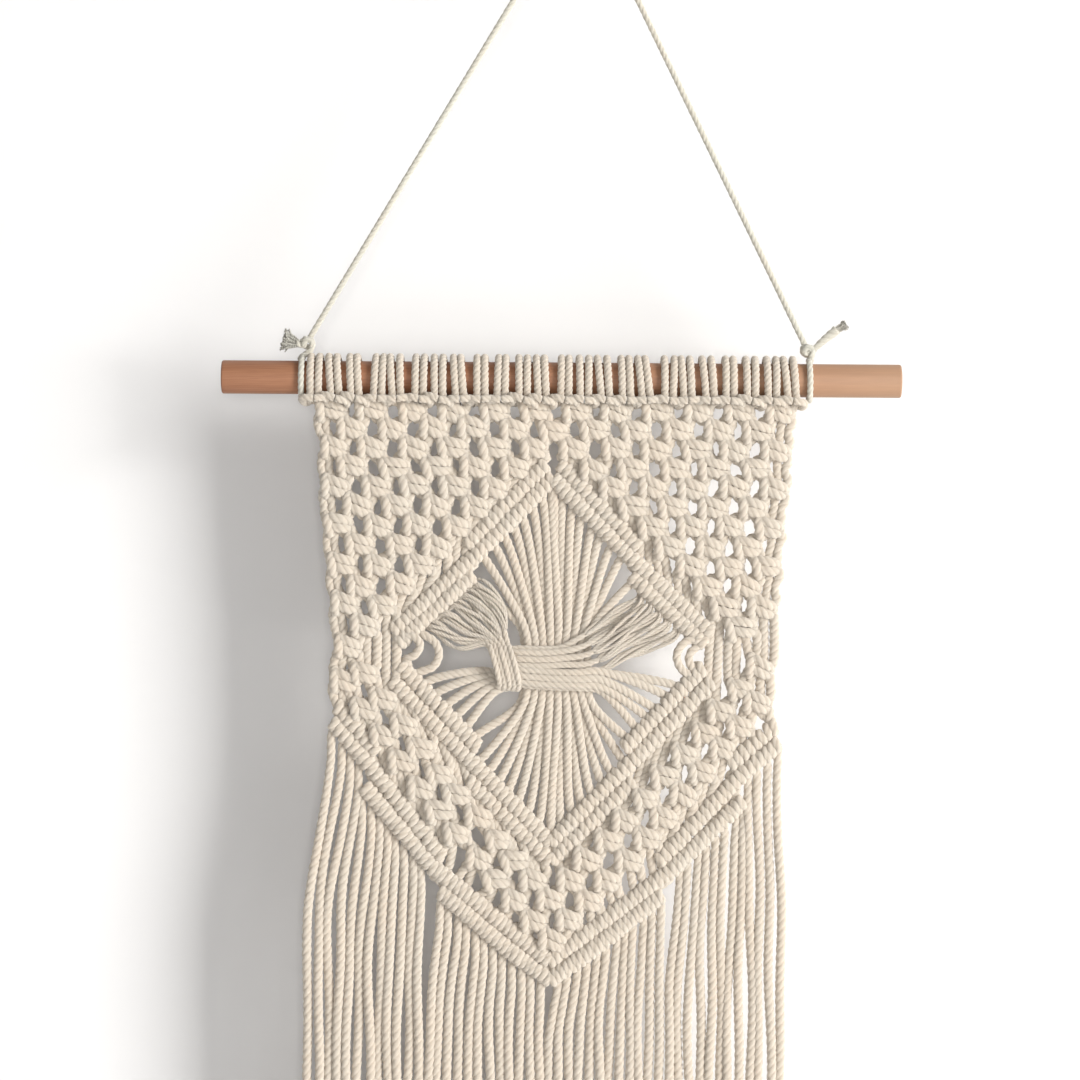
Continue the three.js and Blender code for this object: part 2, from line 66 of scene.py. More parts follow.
# ---- hanging cord ----
# A 3 mm three-ply cotton cord, twisted to the right. It runs taut from the left tie up
# over the nail and down to the right tie.
COTTON = (0.68, 0.62, 0.54)
# The darker colour of each cotton is painted shade in the valleys between the plies, and also the
# tone of its darker fibres.
COTTON_DARK_FIBRE_AND_VALLEY_SHADE = (0.5, 0.435, 0.355)
COTTON_TAN = (0.72, 0.60, 0.48)
GREY_COTTON, GREY_COTTON_DARK_FIBRE_AND_VALLEY_SHADE = (0.68, 0.67, 0.60), (0.53, 0.51, 0.44)
COTTON_FINISH = {
    "Roughness": 0.95, "Specular IOR Level": 0.12, "Sheen Weight": 0.15, "Sheen Roughness": 0.6,
    "Diffuse Roughness": 1.0, "Subsurface Weight": 0.25, "Subsurface Radius": (1.0, 0.95, 0.9),
    "Subsurface Scale": 0.0025}
HANGER = 3.0
HANGER_PITCH = 9.5
HANGER_STEP = 1.2
HANGER_PARTS = 8  # of each straight run, and of the bend over the nail
HANGER_POINTS = {"left": (-128.8, -207.8), "right": (108.6, -209.6)}
NAIL_RADIUS = 6.0


class Shade:
    """A shader socket that Python's operators can do sums on."""

    def __init__(self, tree, socket):
        self.tree, self.socket = tree, socket

    @staticmethod
    def feed(tree, slot, value):
        if isinstance(value, Shade):
            tree.links.new(value.socket, slot)
        elif slot.type == "RGBA" and len(value) == 3:
            slot.default_value = (*value, 1)
        else:
            slot.default_value = value

    def node(self, kind, settings=(), inputs=(), output=0):
        made = self.tree.nodes.new(kind)
        for name, value in dict(settings).items():
            setattr(made, name, value)
        for name, value in dict(inputs).items():
            self.feed(self.tree, made.inputs[name], value)
        return Shade(self.tree, made.outputs[output])

    def sum(self, operation, a, b):
        return self.node("ShaderNodeMath", {"operation": operation}, {0: a, 1: b})

    def __add__(self, other): return self.sum("ADD", self, other)
    def __radd__(self, other): return self.sum("ADD", other, self)
    def __sub__(self, other): return self.sum("SUBTRACT", self, other)
    def __rmul__(self, other): return self.sum("MULTIPLY", other, self)

    def clamped(self, low, high, to_low=0.0, to_high=1.0):
        return self.node("ShaderNodeMapRange", {"clamp": True}, {
            "Value": self, "From Min": low, "From Max": high,
            "To Min": to_low, "To Max": to_high})

    def mixed(self, a, b):
        made = self.tree.nodes.new("ShaderNodeMix")
        made.data_type = "RGBA"
        colours = [s for s in made.inputs if s.type == "RGBA"]
        self.feed(self.tree, made.inputs[0], self)
        self.feed(self.tree, colours[0], a)
        self.feed(self.tree, colours[1], b)
        return Shade(self.tree, next(s for s in made.outputs if s.type == "RGBA"))

    def noise(self, scale, detail):
        return self.node("ShaderNodeTexNoise", {}, {
            "Vector": self, "Scale": scale, "Detail": detail})

    def stretched(self, x, y, z):
        return self.node("ShaderNodeVectorMath", {"operation": "MULTIPLY"}, {
            0: self, 1: (x, y, z)})


def material(name):
    """A new material, its Principled shader and the start of a chain on its Object coordinates."""
    made = bpy.data.materials.new(name)
    made.use_nodes = True
    shader = made.node_tree.nodes["Principled BSDF"]
    place = made.node_tree.nodes.new("ShaderNodeTexCoord").outputs["Object"]
    return made, shader, Shade(made.node_tree, place)


def cotton(name, light, shade):
    """Undyed cotton: fibres that follow the plies, and painted shade that darkens the valleys
    between the plies.
    """
    made, shader, place = material(name)
    lay = place.node("ShaderNodeAttribute", {"attribute_name": "lay"}, output=1)
    ply = place.node("ShaderNodeAttribute", {"attribute_name": "ply"}, output=2)
    fibre = lay.stretched(2.2, 2.2, 0.16).noise(2.6, 3)
    fluff = place.noise(420, 2)
    tone = lay.stretched(0, 0, 0.011).noise(1.0, 1)
    blotch = place.noise(34, 2)
    # Painted shade: where crown is low, in the valleys between the plies, the colour goes towards
    # the darker shade colour. The fibre noise varies it at random between the two colours.
    crown = ply.clamped(0.0, 0.85)
    colour = (0.5 * crown + 0.9 * fibre).clamped(0.2, 0.8, 0.1, 1.0).mixed(shade, light)
    warm = (0.6 * tone + 0.4 * blotch).clamped(0.35, 0.65)
    colour = (0.3 * warm).mixed(colour, COTTON_TAN)
    for slot, value in COTTON_FINISH.items():
        shader.inputs[slot].default_value = value
    Shade.feed(made.node_tree, shader.inputs["Base Color"], colour)
    bump = place.node("ShaderNodeBump", {}, {
        "Strength": 1.0, "Distance": 0.0006,
        "Height": 0.35 * crown + 0.5 * fibre + 0.25 * fluff})
    Shade.feed(made.node_tree, shader.inputs["Normal"], bump)
    return made


cotton_white = cotton("cotton", COTTON, COTTON_DARK_FIBRE_AND_VALLEY_SHADE)
# The cotton of the hanging cord and its ties is a little greyer than the strands'.
cotton_grey = cotton("grey cotton", GREY_COTTON, GREY_COTTON_DARK_FIBRE_AND_VALLEY_SHADE)

# The section of a three-ply strand: three valleys, each with two vertices of ply between.
PLY_SECTION = [(0.84, 0.0), (1.0, 1.0), (1.0, 1.0)] * 3


def strand_section(diameter):
    """The closed outline that a strand of this diameter is swept from."""
    outline = bpy.data.curves.new("section", "CURVE")
    spline = outline.splines.new("POLY")
    spline.points.add(len(PLY_SECTION) - 1)
    for i, (share, _) in enumerate(PLY_SECTION):
        angle = -2 * math.pi * i / len(PLY_SECTION)
        reach = diameter / 2000 * share
        spline.points[i].co = (reach * math.cos(angle), reach * math.sin(angle), 0, 1)
    spline.use_cyclic_u = True
    return placed("section", outline)


SAME_POINT = 0.05  # points closer than this many millimetres are one
FINE_STEP = 0.3


def smooth_route(points, step):
    """The points joined by one smooth curve through them all, then spaced evenly, in mm.

    A fourth number of a point is the strand's thickness there, as a share of its diameter."""
    points = np.asarray(points, float)
    keep = np.r_[True, np.linalg.norm(np.diff(points[:, :3], axis=0), axis=1) > SAME_POINT]
    points = points[keep]
    gaps = np.linalg.norm(np.diff(points[:, :3], axis=0), axis=1)
    knots = np.r_[0, np.cumsum(np.sqrt(gaps))]
    padded = np.vstack([2 * points[0] - points[1], points, 2 * points[-1] - points[-2]])
    times = np.r_[knots[0] - knots[1], knots, 2 * knots[-1] - knots[-2]]
    pieces = []
    for i in range(1, len(padded) - 2):
        count = max(3, int(gaps[i - 1] / FINE_STEP))
        t = np.linspace(times[i], times[i + 1], count, endpoint=False)[:, None]
        t0, t1, t2, t3 = times[i - 1:i + 3]
        p0, p1, p2, p3 = padded[i - 1:i + 3]
        a1 = (t1 - t) / (t1 - t0) * p0 + (t - t0) / (t1 - t0) * p1
        a2 = (t2 - t) / (t2 - t1) * p1 + (t - t1) / (t2 - t1) * p2
        a3 = (t3 - t) / (t3 - t2) * p2 + (t - t2) / (t3 - t2) * p3
        b1 = (t2 - t) / (t2 - t0) * a1 + (t - t0) / (t2 - t0) * a2
        b2 = (t3 - t) / (t3 - t1) * a2 + (t - t1) / (t3 - t1) * a3
        pieces.append((t2 - t) / (t2 - t1) * b1 + (t - t1) / (t2 - t1) * b2)
    fine = np.vstack([*pieces, points[-1:]])
    along = np.r_[0, np.cumsum(np.linalg.norm(np.diff(fine[:, :3], axis=0), axis=1))]
    even = np.linspace(0, along[-1], max(3, round(along[-1] / step) + 1))
    return np.stack([np.interp(even, along, column) for column in fine.T], axis=1)


END_CAP = 0.05  # how far a strand's closed end stands out, in steps of its route
LAY_APART = 977.0  # sets the fibres of one strand apart from the next one's
WELD = 1e-7


def swept(name, routes, diameter, pitch, finish):
    """One piece of twisted strands along evenly spaced routes, closed at their ends."""
    section = strand_section(diameter)
    sweep = bpy.data.curves.new(name, "CURVE")
    sweep.dimensions = "3D"
    sweep.twist_mode = "MINIMUM"
    sweep.bevel_mode = "OBJECT"
    sweep.bevel_object = section
    around = len(PLY_SECTION)
    angle = 2 * np.pi * np.arange(around) / around
    crown = np.array([c for _, c in PLY_SECTION])
    lay, ply = [], []
    for index, route in enumerate(routes):
        route = np.vstack([route[:1], route, route[-1:]])
        route[0] += (route[0] - route[2]) * END_CAP
        route[-1] += (route[-1] - route[-3]) * END_CAP
        thick = route[:, 3] if route.shape[1] == 4 else np.ones(len(route))
        route = route[:, :3]
        along = np.r_[0, np.cumsum(np.linalg.norm(np.diff(route, axis=0), axis=1))]
        spline = sweep.splines.new("POLY")
        spline.points.add(len(route) - 1)
        spline.points.foreach_set("co", np.c_[route / 1000, np.ones(len(route))].ravel())
        spline.points.foreach_set("tilt", 2 * np.pi * along / pitch)
        spline.points.foreach_set("radius", np.r_[0, thick[1:-1], 0])
        ring = np.c_[np.cos(angle), np.sin(angle), np.zeros(around)]
        rows = np.repeat(ring[None], len(route), axis=0)
        rows[:, :, 2] = (along + LAY_APART * index)[:, None]
        lay.append(rows.reshape(-1, 3))
        ply.append(np.tile(crown, len(route)))
    carrier = placed(name, sweep)
    drawn = carrier.evaluated_get(bpy.context.evaluated_depsgraph_get())
    mesh = bpy.data.meshes.new_from_object(drawn)
    bpy.data.objects.remove(carrier)
    bpy.data.objects.remove(section)
    lay_data = mesh.attributes.new("lay", "FLOAT_VECTOR", "POINT").data
    lay_data.foreach_set("vector", np.vstack(lay).ravel())
    ply_data = mesh.attributes.new("ply", "FLOAT", "POINT").data
    ply_data.foreach_set("value", np.concatenate(ply))
    shape = bmesh.new()
    shape.from_mesh(mesh)
    bmesh.ops.remove_doubles(shape, verts=shape.verts, dist=WELD)
    shape.to_mesh(mesh)
    shape.free()
    mesh.materials.clear()
    mesh.materials.append(finish)
    piece = placed(name, mesh)
    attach(piece, "root")
    return piece


def hanger_route():
    """Straight up from the left tie, round the nail, and straight down to the right tie."""
    radius = NAIL_RADIUS + HANGER / 2
    nail = Vector((0, -NAIL_RADIUS))
    touch = {}
    for side, sign in (("left", -1), ("right", 1)):
        away = Vector(HANGER_POINTS[side]) - nail
        touch[side] = math.atan2(away.y, away.x) + sign * math.acos(radius / away.length)
    sweep = (touch["left"] - touch["right"]) % (2 * math.pi)
    bend = [touch["left"] - sweep * i / HANGER_PARTS for i in range(HANGER_PARTS + 1)]
    round_nail = [nail + radius * Vector((math.cos(a), math.sin(a))) for a in bend]
    start, end = Vector(HANGER_POINTS["left"]), Vector(HANGER_POINTS["right"])
    up = [start.lerp(round_nail[0], i / HANGER_PARTS) for i in range(HANGER_PARTS)]
    down = [round_nail[-1].lerp(end, (i + 1) / HANGER_PARTS) for i in range(HANGER_PARTS)]
    return [(x, 0, z) for x, z in up + round_nail + down]


hanger_path = smooth_route(hanger_route(), HANGER_STEP)
hanging_cord = swept("hanging_cord_twist", [hanger_path], HANGER, HANGER_PITCH,
                     cotton_grey)
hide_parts("hanging_cord")
hanger_steps = np.linalg.norm(np.diff(hanger_path, axis=0), axis=1)
float(hanger_steps.sum()) / 1000

# ---- rod ----
# A beech dowel that the strands and the ties hang from. It is sawn square and eased at
# both ends, then oiled.
ROD = {"x": -8.0, "z": -227.0, "radius": 8.0, "length": 326.0, "ease": 1.0}
BEECH, BEECH_DARK = (0.43, 0.205, 0.11), (0.29, 0.12, 0.062)
BEECH_FLECK, BEECH_PALE = (0.20, 0.08, 0.045), (0.50, 0.335, 0.215)


def beech():
    """Reddish beech: long grain along X, short dark flecks, and paler towards the right."""
    made, shader, place = material("oiled beech")
    grain = place.stretched(0.6, 14, 14).noise(22, 4)
    streak = place.stretched(2.2, 60, 60).noise(30, 3)
    cells = place.stretched(9, 75, 75).node("ShaderNodeTexVoronoi", {}, {"Scale": 20.0})
    fleck = cells.clamped(0.0, 0.3, 1.0, 0.0)
    shade = (0.55 * grain + 0.45 * streak).clamped(0.32, 0.68)
    colour = shade.mixed(BEECH_DARK, BEECH)
    colour = (0.28 * fleck).mixed(colour, BEECH_FLECK)
    paler = place.node("ShaderNodeSeparateXYZ", {}, {0: place}).clamped(-0.05, 0.15)
    colour = (0.55 * paler).mixed(colour, BEECH_PALE)
    Shade.feed(made.node_tree, shader.inputs["Base Color"], colour)
    Shade.feed(made.node_tree, shader.inputs["Roughness"], 0.52 + 0.16 * streak)
    bump = place.node("ShaderNodeBump", {}, {
        "Strength": 0.35, "Distance": 0.0003, "Height": streak - 0.5 * fleck})
    Shade.feed(made.node_tree, shader.inputs["Normal"], bump)
    return made


def built(name, shape, finish):
    """An object made from a bmesh, all in one material."""
    mesh = bpy.data.meshes.new(name)
    shape.to_mesh(mesh)
    shape.free()
    mesh.materials.append(finish)
    return placed(name, mesh)


shape = bmesh.new()
bmesh.ops.create_cone(shape, cap_ends=True, segments=96, radius1=ROD["radius"] / 1000,
                      radius2=ROD["radius"] / 1000, depth=ROD["length"] / 1000)
rims = [e for e in shape.edges
        if len(e.link_faces) == 2 and any(len(f.verts) > 4 for f in e.link_faces)]
bmesh.ops.bevel(shape, geom=rims, offset=ROD["ease"] / 1000, affect="EDGES", segments=4,
                profile=0.5, material=-1)
bmesh.ops.rotate(shape, verts=shape.verts, matrix=Matrix.Rotation(math.radians(90), 3, "Y"))
bmesh.ops.translate(shape, verts=shape.verts, vec=(ROD["x"] / 1000, 0, ROD["z"] / 1000))
for face in shape.faces:
    face.smooth = len(face.verts) == 4
wooden_rod = built("wooden_rod", shape, beech())
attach(wooden_rod, "root")
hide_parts("rod")

# ---- heading ----
# Twenty-four strands are folded in half over the rod as lark's heads, side by side: two
# turns in front of the rod each, and the fold lying across both below it.
STRAND = 4.2
STRANDS, HALF_STRANDS = 48, 24
PITCH = {"head": 8.0, "knot": 9.8, "fringe": 12.5, "ply": 6.0}
STEP = 1.1
THICK = {"head": 0.91, "knot": 1.19, "bar": 1.04, "middle": 1.0, "fringe": 1.11}
PANEL = {"x": -11.8, "y": -4.0}
HEADS = 24
HEAD = {"inset": 5.2, "first": -119.6, "pitch": 9.95, "jitter": 0.4, "wander": 2.7}
# Across from the head's middle, towards the wall, and up from the rod's centre, from the
# fold to the leg's end.
LARKS_HEAD = [
    (0.2, -12.9, -10.3), (3.0, -12.7, -10.1), (5.6, -10.9, -10.3), (5.0, -5.4, -11.9),
    (3.4, 2.0, -11.6), (2.7, 8.0, -7.4), (2.3, 10.2, 0.0), (2.1, 7.3, 7.3), (2.0, 0.0, 10.1),
    (1.95, -7.1, 7.2), (1.95, -9.9, 1.0), (1.9, -9.3, -4.6), (2.0, -8.0, -8.4),
    (2.2, -6.0, -11.0)]
# How a head leans, how its fold tilts, and how far its legs part at the top.
HEAD_MOOD = {"spread": (1.7, 0.2, 0.4), "mean": (-0.8, -0.12, 0.05)}
head_moods = np.random.default_rng(5).uniform(-1, 1, (HEADS, 3))


def head_x(k):
    return (PANEL["x"] + HEAD["inset"] + HEAD["first"] + HEAD["pitch"] * k
            + HEAD["jitter"] * math.sin(k * HEAD["wander"]))


def head_route(s):
    """Strand s from its lark's head's fold to below the rod. Each head leans its own way."""
    side = -1 if s % 2 == 0 else 1
    lean, tilt, part = head_moods[s // 2] * HEAD_MOOD["spread"] + HEAD_MOOD["mean"]
    route = []
    for across, back, up in LARKS_HEAD:
        x = head_x(s // 2) + side * across + lean * (up + 10) / 20
        slope = tilt * side * across if up < -10 and back < -5 else 0
        route.append((x + side * part * (up + 10) / 20, back, ROD["z"] + up + slope,
                      THICK["head"]))
    return route


# ---- knotted panel ----
# The strands are knotted by fours into alternating square knots. Each takes one strand
# from each side of the two knots above it.
COLUMNS, MIDDLE, BAND_ROW, DIAMOND_ROW = 22, 11, 13, 3
ROW = {"first": 15.6, "pitch": 8.98, "slack": 0.034}
COLUMN = {"pitch": 9.77, "narrowing": 0.066}
INNER_LINE = {"first": 133.0, "pitch": 11.9, "slack": -0.12}
OUTER_LINE = {"first": 149.5, "pitch": 12.55, "slack": -0.16}
# Right, down and towards the viewer from the knot's middle, for its four strands from left
# to right.
SQUARE_KNOT = [
    [(-5.2, -4.1, 0.2), (-4.8, -3.7, 0.8), (-2.6, -3.4, 2.6), (0.6, -2.5, 3.6),
     (3.6, -1.5, 3.0), (5.7, -0.7, 1.0), (6.1, 1.0, -0.3), (5.6, 2.7, 0.7), (3.4, 2.9, 2.6),
     (0.6, 2.1, 3.5), (-2.2, 1.1, 2.6), (-4.3, 2.0, 0.8), (-5.2, 4.1, 0.2)],
    [(-1.6, -3.6, -0.2), (-1.3, 0.0, -0.4), (-1.6, 3.6, -0.2)],
    [(2.0, -3.6, -0.2), (2.1, 0.0, -0.4), (2.0, 3.6, -0.2)],
    [(6.9, -4.6, 0.6), (6.7, -2.7, 0.7), (4.2, -0.9, -1.4), (0.6, -1.4, -3.2), (-2.4, -3.2, -2.2),
     (-4.2, -4.6, 0.8), (-4.6, -2.8, 3.3), (-4.3, 0.0, 4.3), (-4.0, 2.8, 3.3), (-3.7, 4.5, 0.8),
     (-2.4, 3.2, -2.2), (0.6, 1.9, -3.2), (4.2, 2.0, -1.4), (6.6, 3.6, 0.8), (6.9, 5.0, 0.7)],
]
# A knot's turn, how much wider it is, and how far it slips right and down.
KNOT_MOOD = {"spread": (0.09, 0.05, 0.55, 0.45), "mean": (0.0, 0.04, 0, 0)}
LAST_ROW = 29
SAG = 4.5
rng = np.random.default_rng(11)


def mirrored(s):
    """Strand s's side of the centre line, and its number counted outward from there."""
    if s < HALF_STRANDS:
        return -1, HALF_STRANDS - 1 - s
    return 1, s - HALF_STRANDS


def sag(out, whole):
    """How much lower the panel hangs this far to the right of its middle: it isn't quite even."""
    return SAG * (out / whole) ** 3


def row_depth(column, row):
    if row < BAND_ROW:
        k = row - 1
        return ROW["first"] + ROW["pitch"] * k + ROW["slack"] * k * k
    inward = MIDDLE - abs(column - MIDDLE)
    inner, outer = (line["first"] + line["pitch"] * inward + line["slack"] * inward ** 2
                    for line in (INNER_LINE, OUTER_LINE))
    return inner + (outer - inner) * (row - inward - BAND_ROW) / 2 + sag(column - MIDDLE, MIDDLE)


def column_pitch(row):
    return COLUMN["pitch"] - COLUMN["narrowing"] * (min(row, BAND_ROW) - 1)


def knot_middle(column, row):
    return column_pitch(row) * (column - MIDDLE), row_depth(column, row)


def knot_rows(column):
    """The rows with a knot in this column, above and below the diamond."""
    across = abs(column - MIDDLE)
    upper = [r for r in range(1, BAND_ROW)
             if (r + column) % 2 and (r <= DIAMOND_ROW or across >= r - DIAMOND_ROW)]
    band = BAND_ROW + MIDDLE - across
    return upper, [band, band + 2]


knot_moods = {(c, r): rng.normal(0, 1, 4)
              for c in range(COLUMNS + 1) for r in range(1, LAST_ROW + 1)}


def knot_route(column, row, role):
    """The points of one strand through one knot, in panel coordinates."""
    x, down = knot_middle(column, row)
    mood = knot_moods[column, row] * KNOT_MOOD["spread"] + KNOT_MOOD["mean"]
    turn, wide, slip_x, slip_z = mood
    scale = column_pitch(row) / COLUMN["pitch"] + wide
    route = []
    for right, below, front in SQUARE_KNOT[role]:
        u, v = right * scale, below * (1 + wide / 2)
        route.append((x + slip_x + u - turn * v, down + slip_z + v + turn * u, front,
                      THICK["knot"]))
    return route


# Bars of double half hitches, in millimetres outward from the centre line and down from the
# rod's centre. A bar's strands are those that cross it, counted outward from the middle, in
# the order in which it meets them.
UPPER_BARS = [
    {"points": [(3, 40.5), (41.3, 80.6)], "strands": range(0, 8)},
    {"points": [(0, 47.5), (39.8, 87.8), (76, 121.5)], "strands": range(0, 16)},
    {"points": [(37.9, 94), (73.5, 127)], "strands": range(8, 16)},
]
LOWER_BARS = [
    {"points": [(73, 137.5), (35, 177.1)], "strands": range(15, 7, -1)},
    {"points": [(77, 144.5), (38.9, 182.9), (0, 222.5)], "strands": range(15, -1, -1)},
    {"points": [(39.8, 192.5), (0, 231)], "strands": range(7, -1, -1)},
]
V_REACH = 105.1
V_BARS = [
    {"points": [(103.3, 160.8), (83.2, 182.3)], "strands": range(22, 18, -1)},
    {"points": [(V_REACH, 169), (89.8, 184.8), (51.4, 230.4)], "strands": range(23, 11, -1)},
    {"points": [(89.3, 198.7), (56.2, 235.2), (0, 279)], "strands": range(19, -1, -1)},
    {"points": [(52.8, 246.2), (19, 274.2), (0, 288)], "strands": range(11, -1, -1)},
]
# Along the bar in wraps, across it and forward in millimetres, for one strand's two hitches.
HITCHES = [
    (-0.3, -3.4, -1.2), (-0.3, 0.0, -2.5), (-0.34, 2.3, -0.6), (-0.42, 1.4, 1.8),
    (-0.56, -1.4, 2.0), (-0.66, -2.4, -0.3), (0.0, 0.0, -2.6), (0.66, 2.3, -0.6),
    (0.58, 1.4, 1.8), (0.44, -1.4, 2.0), (0.34, -2.4, -0.3), (0.1, 0.0, -2.8), (0.0, 2.8, -1.8)]
# A hitch's place along the bar, its width, its depth, and how much it slants.
HITCH_MOOD = (0.2, 0.06, 0.12, 0.3)


def along_bar(points, share):
    """The place at a share of a bar's length, the bar's direction there, and its length."""
    points = np.array(points, float)
    steps = np.diff(points, axis=0)
    lengths = np.linalg.norm(steps, axis=1)
    reach = share * lengths.sum()
    i = int(np.searchsorted(np.cumsum(lengths)[:-1], reach))
    rest = reach - lengths[:i].sum()
    return points[i] + steps[i] / lengths[i] * rest, steps[i] / lengths[i], lengths.sum()


def bar_points(bar, side):
    """A bar's points on one side. The V's outer ends are lower on the right, and further out."""
    if bar not in V_BARS:
        return bar["points"]
    return [(out + (sag(out, V_REACH) if side > 0 else 0), down + sag(side * out, V_REACH))
            for out, down in bar["points"]]


def hitch_route(bar, k, side):
    """Strand k, counted from the middle, through its two hitches on a bar."""
    order = list(bar["strands"])
    place, way, length = along_bar(bar_points(bar, side), (order.index(k) + 0.5) / len(order))
    wrap = length / len(order) / 2
    across = np.array([-way[1], way[0]])
    if across[1] < 0:
        across = -across
    mood = rng.normal(0, 1, 4) * HITCH_MOOD
    route = []
    for i, (share, over, front) in enumerate(HITCHES):
        slant = mood[3] * over / 2.4
        out, down = (place + way * (share * wrap + mood[0] + slant)
                     + across * over * (1 + mood[1]))
        route.append((side * out, down, front * (1 + mood[2]), THICK["bar"]))
    return route


# The diamond's strands gather to the middle knot: the nine innermost of each side run
# behind it, the next five of each side tie it, and the last two curl from bar to bar.
FILLERS, BUNDLE, CURLED = 9, 5, 2
DIAMOND_STRANDS = FILLERS + BUNDLE + CURLED
# The middle knot's top and bottom, down from the rod's centre.
KNOT_TOP, KNOT_LOW = 127.0, 147.5
LOOSE = 0.45  # the thickness of a strand where its plies have come apart
LOOSE_UNDER = LOOSE + 0.06  # a strand thinner than this is drawn as loose plies too
LOOSE_PLY, LOOSE_PLIES = 1.6, 6
FILLER_SPREAD = {"middle": 2.0, "half": 16.0}
# The lanes of the right bundle's two passes, strand by strand from its innermost: how far
# down and how far forward each lies.
UPPER_PASS = [(128.6, 3.0), (130.4, 5.0), (133.5, 5.6), (136.7, 5.2), (134.8, 3.0)]
LOWER_PASS = [(147.4, 3.4), (146.2, 5.2), (143.2, 5.8), (140.1, 5.4), (141.6, 3.2)]
# The left bundle's way down over both passes.
BUMP = {"top": 126.4, "low": 146.2, "first": -19.2, "pitch": -2.3}
# The two curling strands of each side: right, down and forward in panel coordinates.
CURLS = {
    -1: [[(-61.5, 123, 1), (-56, 126.5, 1.8), (-54, 132, 1.6), (-56.5, 138, 1)],
         [(-72, 125, 1.5), (-67, 123.4, 2.6), (-63, 127.5, 3), (-65.4, 132.6, 2.6),
          (-70, 135, 1)]],
    1: [[(70, 127, 1), (66.6, 130.5, 1.6), (65.6, 134.5, 1.8), (67.5, 139, 1)],
        [(71, 124, 1), (64, 125.5, 2.4), (59.8, 131.8, 3), (62, 138.5, 2.4), (68.5, 142, 1)]],
}


def inside_route(k, side):
    """Strand k of the diamond between its upper and its lower bars."""
    if k >= FILLERS + BUNDLE:
        return [(*point, 1.0) for point in CURLS[side][k - FILLERS - BUNDLE]]
    if k < FILLERS:
        share = (k + 0.5) / FILLERS
        x = FILLER_SPREAD["middle"] + side * FILLER_SPREAD["half"] * share
        layer = -0.4 if (k + (side > 0)) % 2 else -2.8
        flare = x * 1.12 + side * 0.12 * k
        return [(flare, KNOT_TOP - 9, layer + 0.6, 1.0), (x, KNOT_TOP, layer, 1.0),
                (x, (KNOT_TOP + KNOT_LOW) / 2, layer - 0.4, 1.0), (x, KNOT_LOW, layer, 1.0),
                (flare, KNOT_LOW + 9, layer + 0.6, 1.0)]
    m = k - FILLERS
    if side > 0:
        # Across in front, round the left edge under the other bundle, and back across below.
        (upper, above), (lower, below) = UPPER_PASS[m], LOWER_PASS[m]
        edge = -25.5 + 0.8 * m
        return [(42 + 4.2 * m, 105.5 + 4.2 * m, above - 3.2, LOOSE),
                (27 + 2.2 * m, 115.5 + 4.1 * m, above - 1.6, LOOSE),
                (13.5 + 1.6 * m, 123.6 + 4.1 * m, above, 0.7),
                (4, upper + 0.2, above, 0.82), (-7, upper + 0.9, above, 0.82),
                (-18, upper + 0.8, above - 1.0, 0.8), (edge, upper + 3.0, 0.0, 0.95),
                (edge + 0.6, (upper + lower) / 2, -1.6, 0.95), (edge + 1.5, lower - 3.4, 0.0, 0.95),
                (-17, lower - 1.4, below - 1.0, 0.8), (-4, lower, below, 0.82),
                (12, lower + 0.4, below, 0.88), (23, lower + 1.6 - 0.6 * m, below - 1.4, 1.0)]
    # Down in front over both passes, and out below them.
    x = BUMP["first"] + BUMP["pitch"] * m
    deep = 0.7 * (m % 2)
    top, low = BUMP["top"], BUMP["low"]
    return [(-36.0 - 5.4 * m, 98.5 + 5.0 * m, 0.8, LOOSE),
            (-26.5 - 4.5 * m, 108.0 + 4.6 * m, 2.2, LOOSE), (x - 2.2, top + 0.3 * m, 4.6, 0.72),
            (x - 0.2, top + 5, 8.4 - deep, 0.7), (x + 1.4, (top + low) / 2, 9.2 - deep, 0.7),
            (x + 2.9, low - 4.4, 8.4 - deep, 0.7), (x + 3.6, low + 0.2, 4.0, 0.75),
            (x + 2.6, low + 2.1 - 0.2 * m, 0.4, 0.95), (x + 0.6, low + 1.6 - 1.6 * m, -1.4, 0.95),
            (x - 7.5, low + 3.6 - 2.4 * m, 0.2, 1.0)]


# Each strand's route, in panel coordinates: right of the centre line, down from the rod's
# centre, and forward.
def panel_route(s):
    """Strand s, 0 to 47 from the left, from under the rod to the top of the V's bars."""
    side, k = mirrored(s)
    homes = [c for c in ((s - 2) // 2, s // 2) if 0 <= c <= COLUMNS and 0 <= s - 2 * c <= 3]
    upper = sorted((r, c) for c in homes for r in knot_rows(c)[0])
    lower = sorted((r, c) for c in homes for r in knot_rows(c)[1])
    route = []
    last_row = 0
    for row, column in upper:
        if row - last_row == 2 and len(homes) == 1:
            x, down = knot_middle(column, row - 1)
            role = s - 2 * column
            bowed = side * (0.7 + (0.9 if role in (0, 3) else 0))
            route.append((x + bowed + (role - 1.5) * 2.7, down, 0.6, 1.0))
        route += knot_route(column, row, s - 2 * column)
        last_row = row
    if k < DIAMOND_STRANDS:
        for bar in UPPER_BARS:
            if k in bar["strands"]:
                route += hitch_route(bar, k, side)
        route += inside_route(k, side)
        for bar in LOWER_BARS:
            if k in bar["strands"]:
                route += hitch_route(bar, k, side)
    for row, column in lower:
        route += knot_route(column, row, s - 2 * column)
    return route


def v_route(s):
    """Strand s through the V's bars."""
    side, k = mirrored(s)
    route = []
    for bar in V_BARS:
        if k in bar["strands"]:
            route += hitch_route(bar, k, side)
    return route


# The strands hang from the bars where they can, and drift to one even spacing further down.
# Of drift and lean, the first number is for all strands. The second adds to it: drift's the
# further out a strand is, and lean's on the right side.
FRINGE = {"end": 553.0, "uneven": 3.0, "first": -115.4, "pitch": 4.8, "step": 14,
          "drift": (28.0, 62.0), "lean": (0.6, 0.5)}
# How far a strand waves, and how far down it goes in one radian of the wave.
WAVES = {"long": (0.7, 31), "short": (0.5, 13), "front": (0.9, 40)}


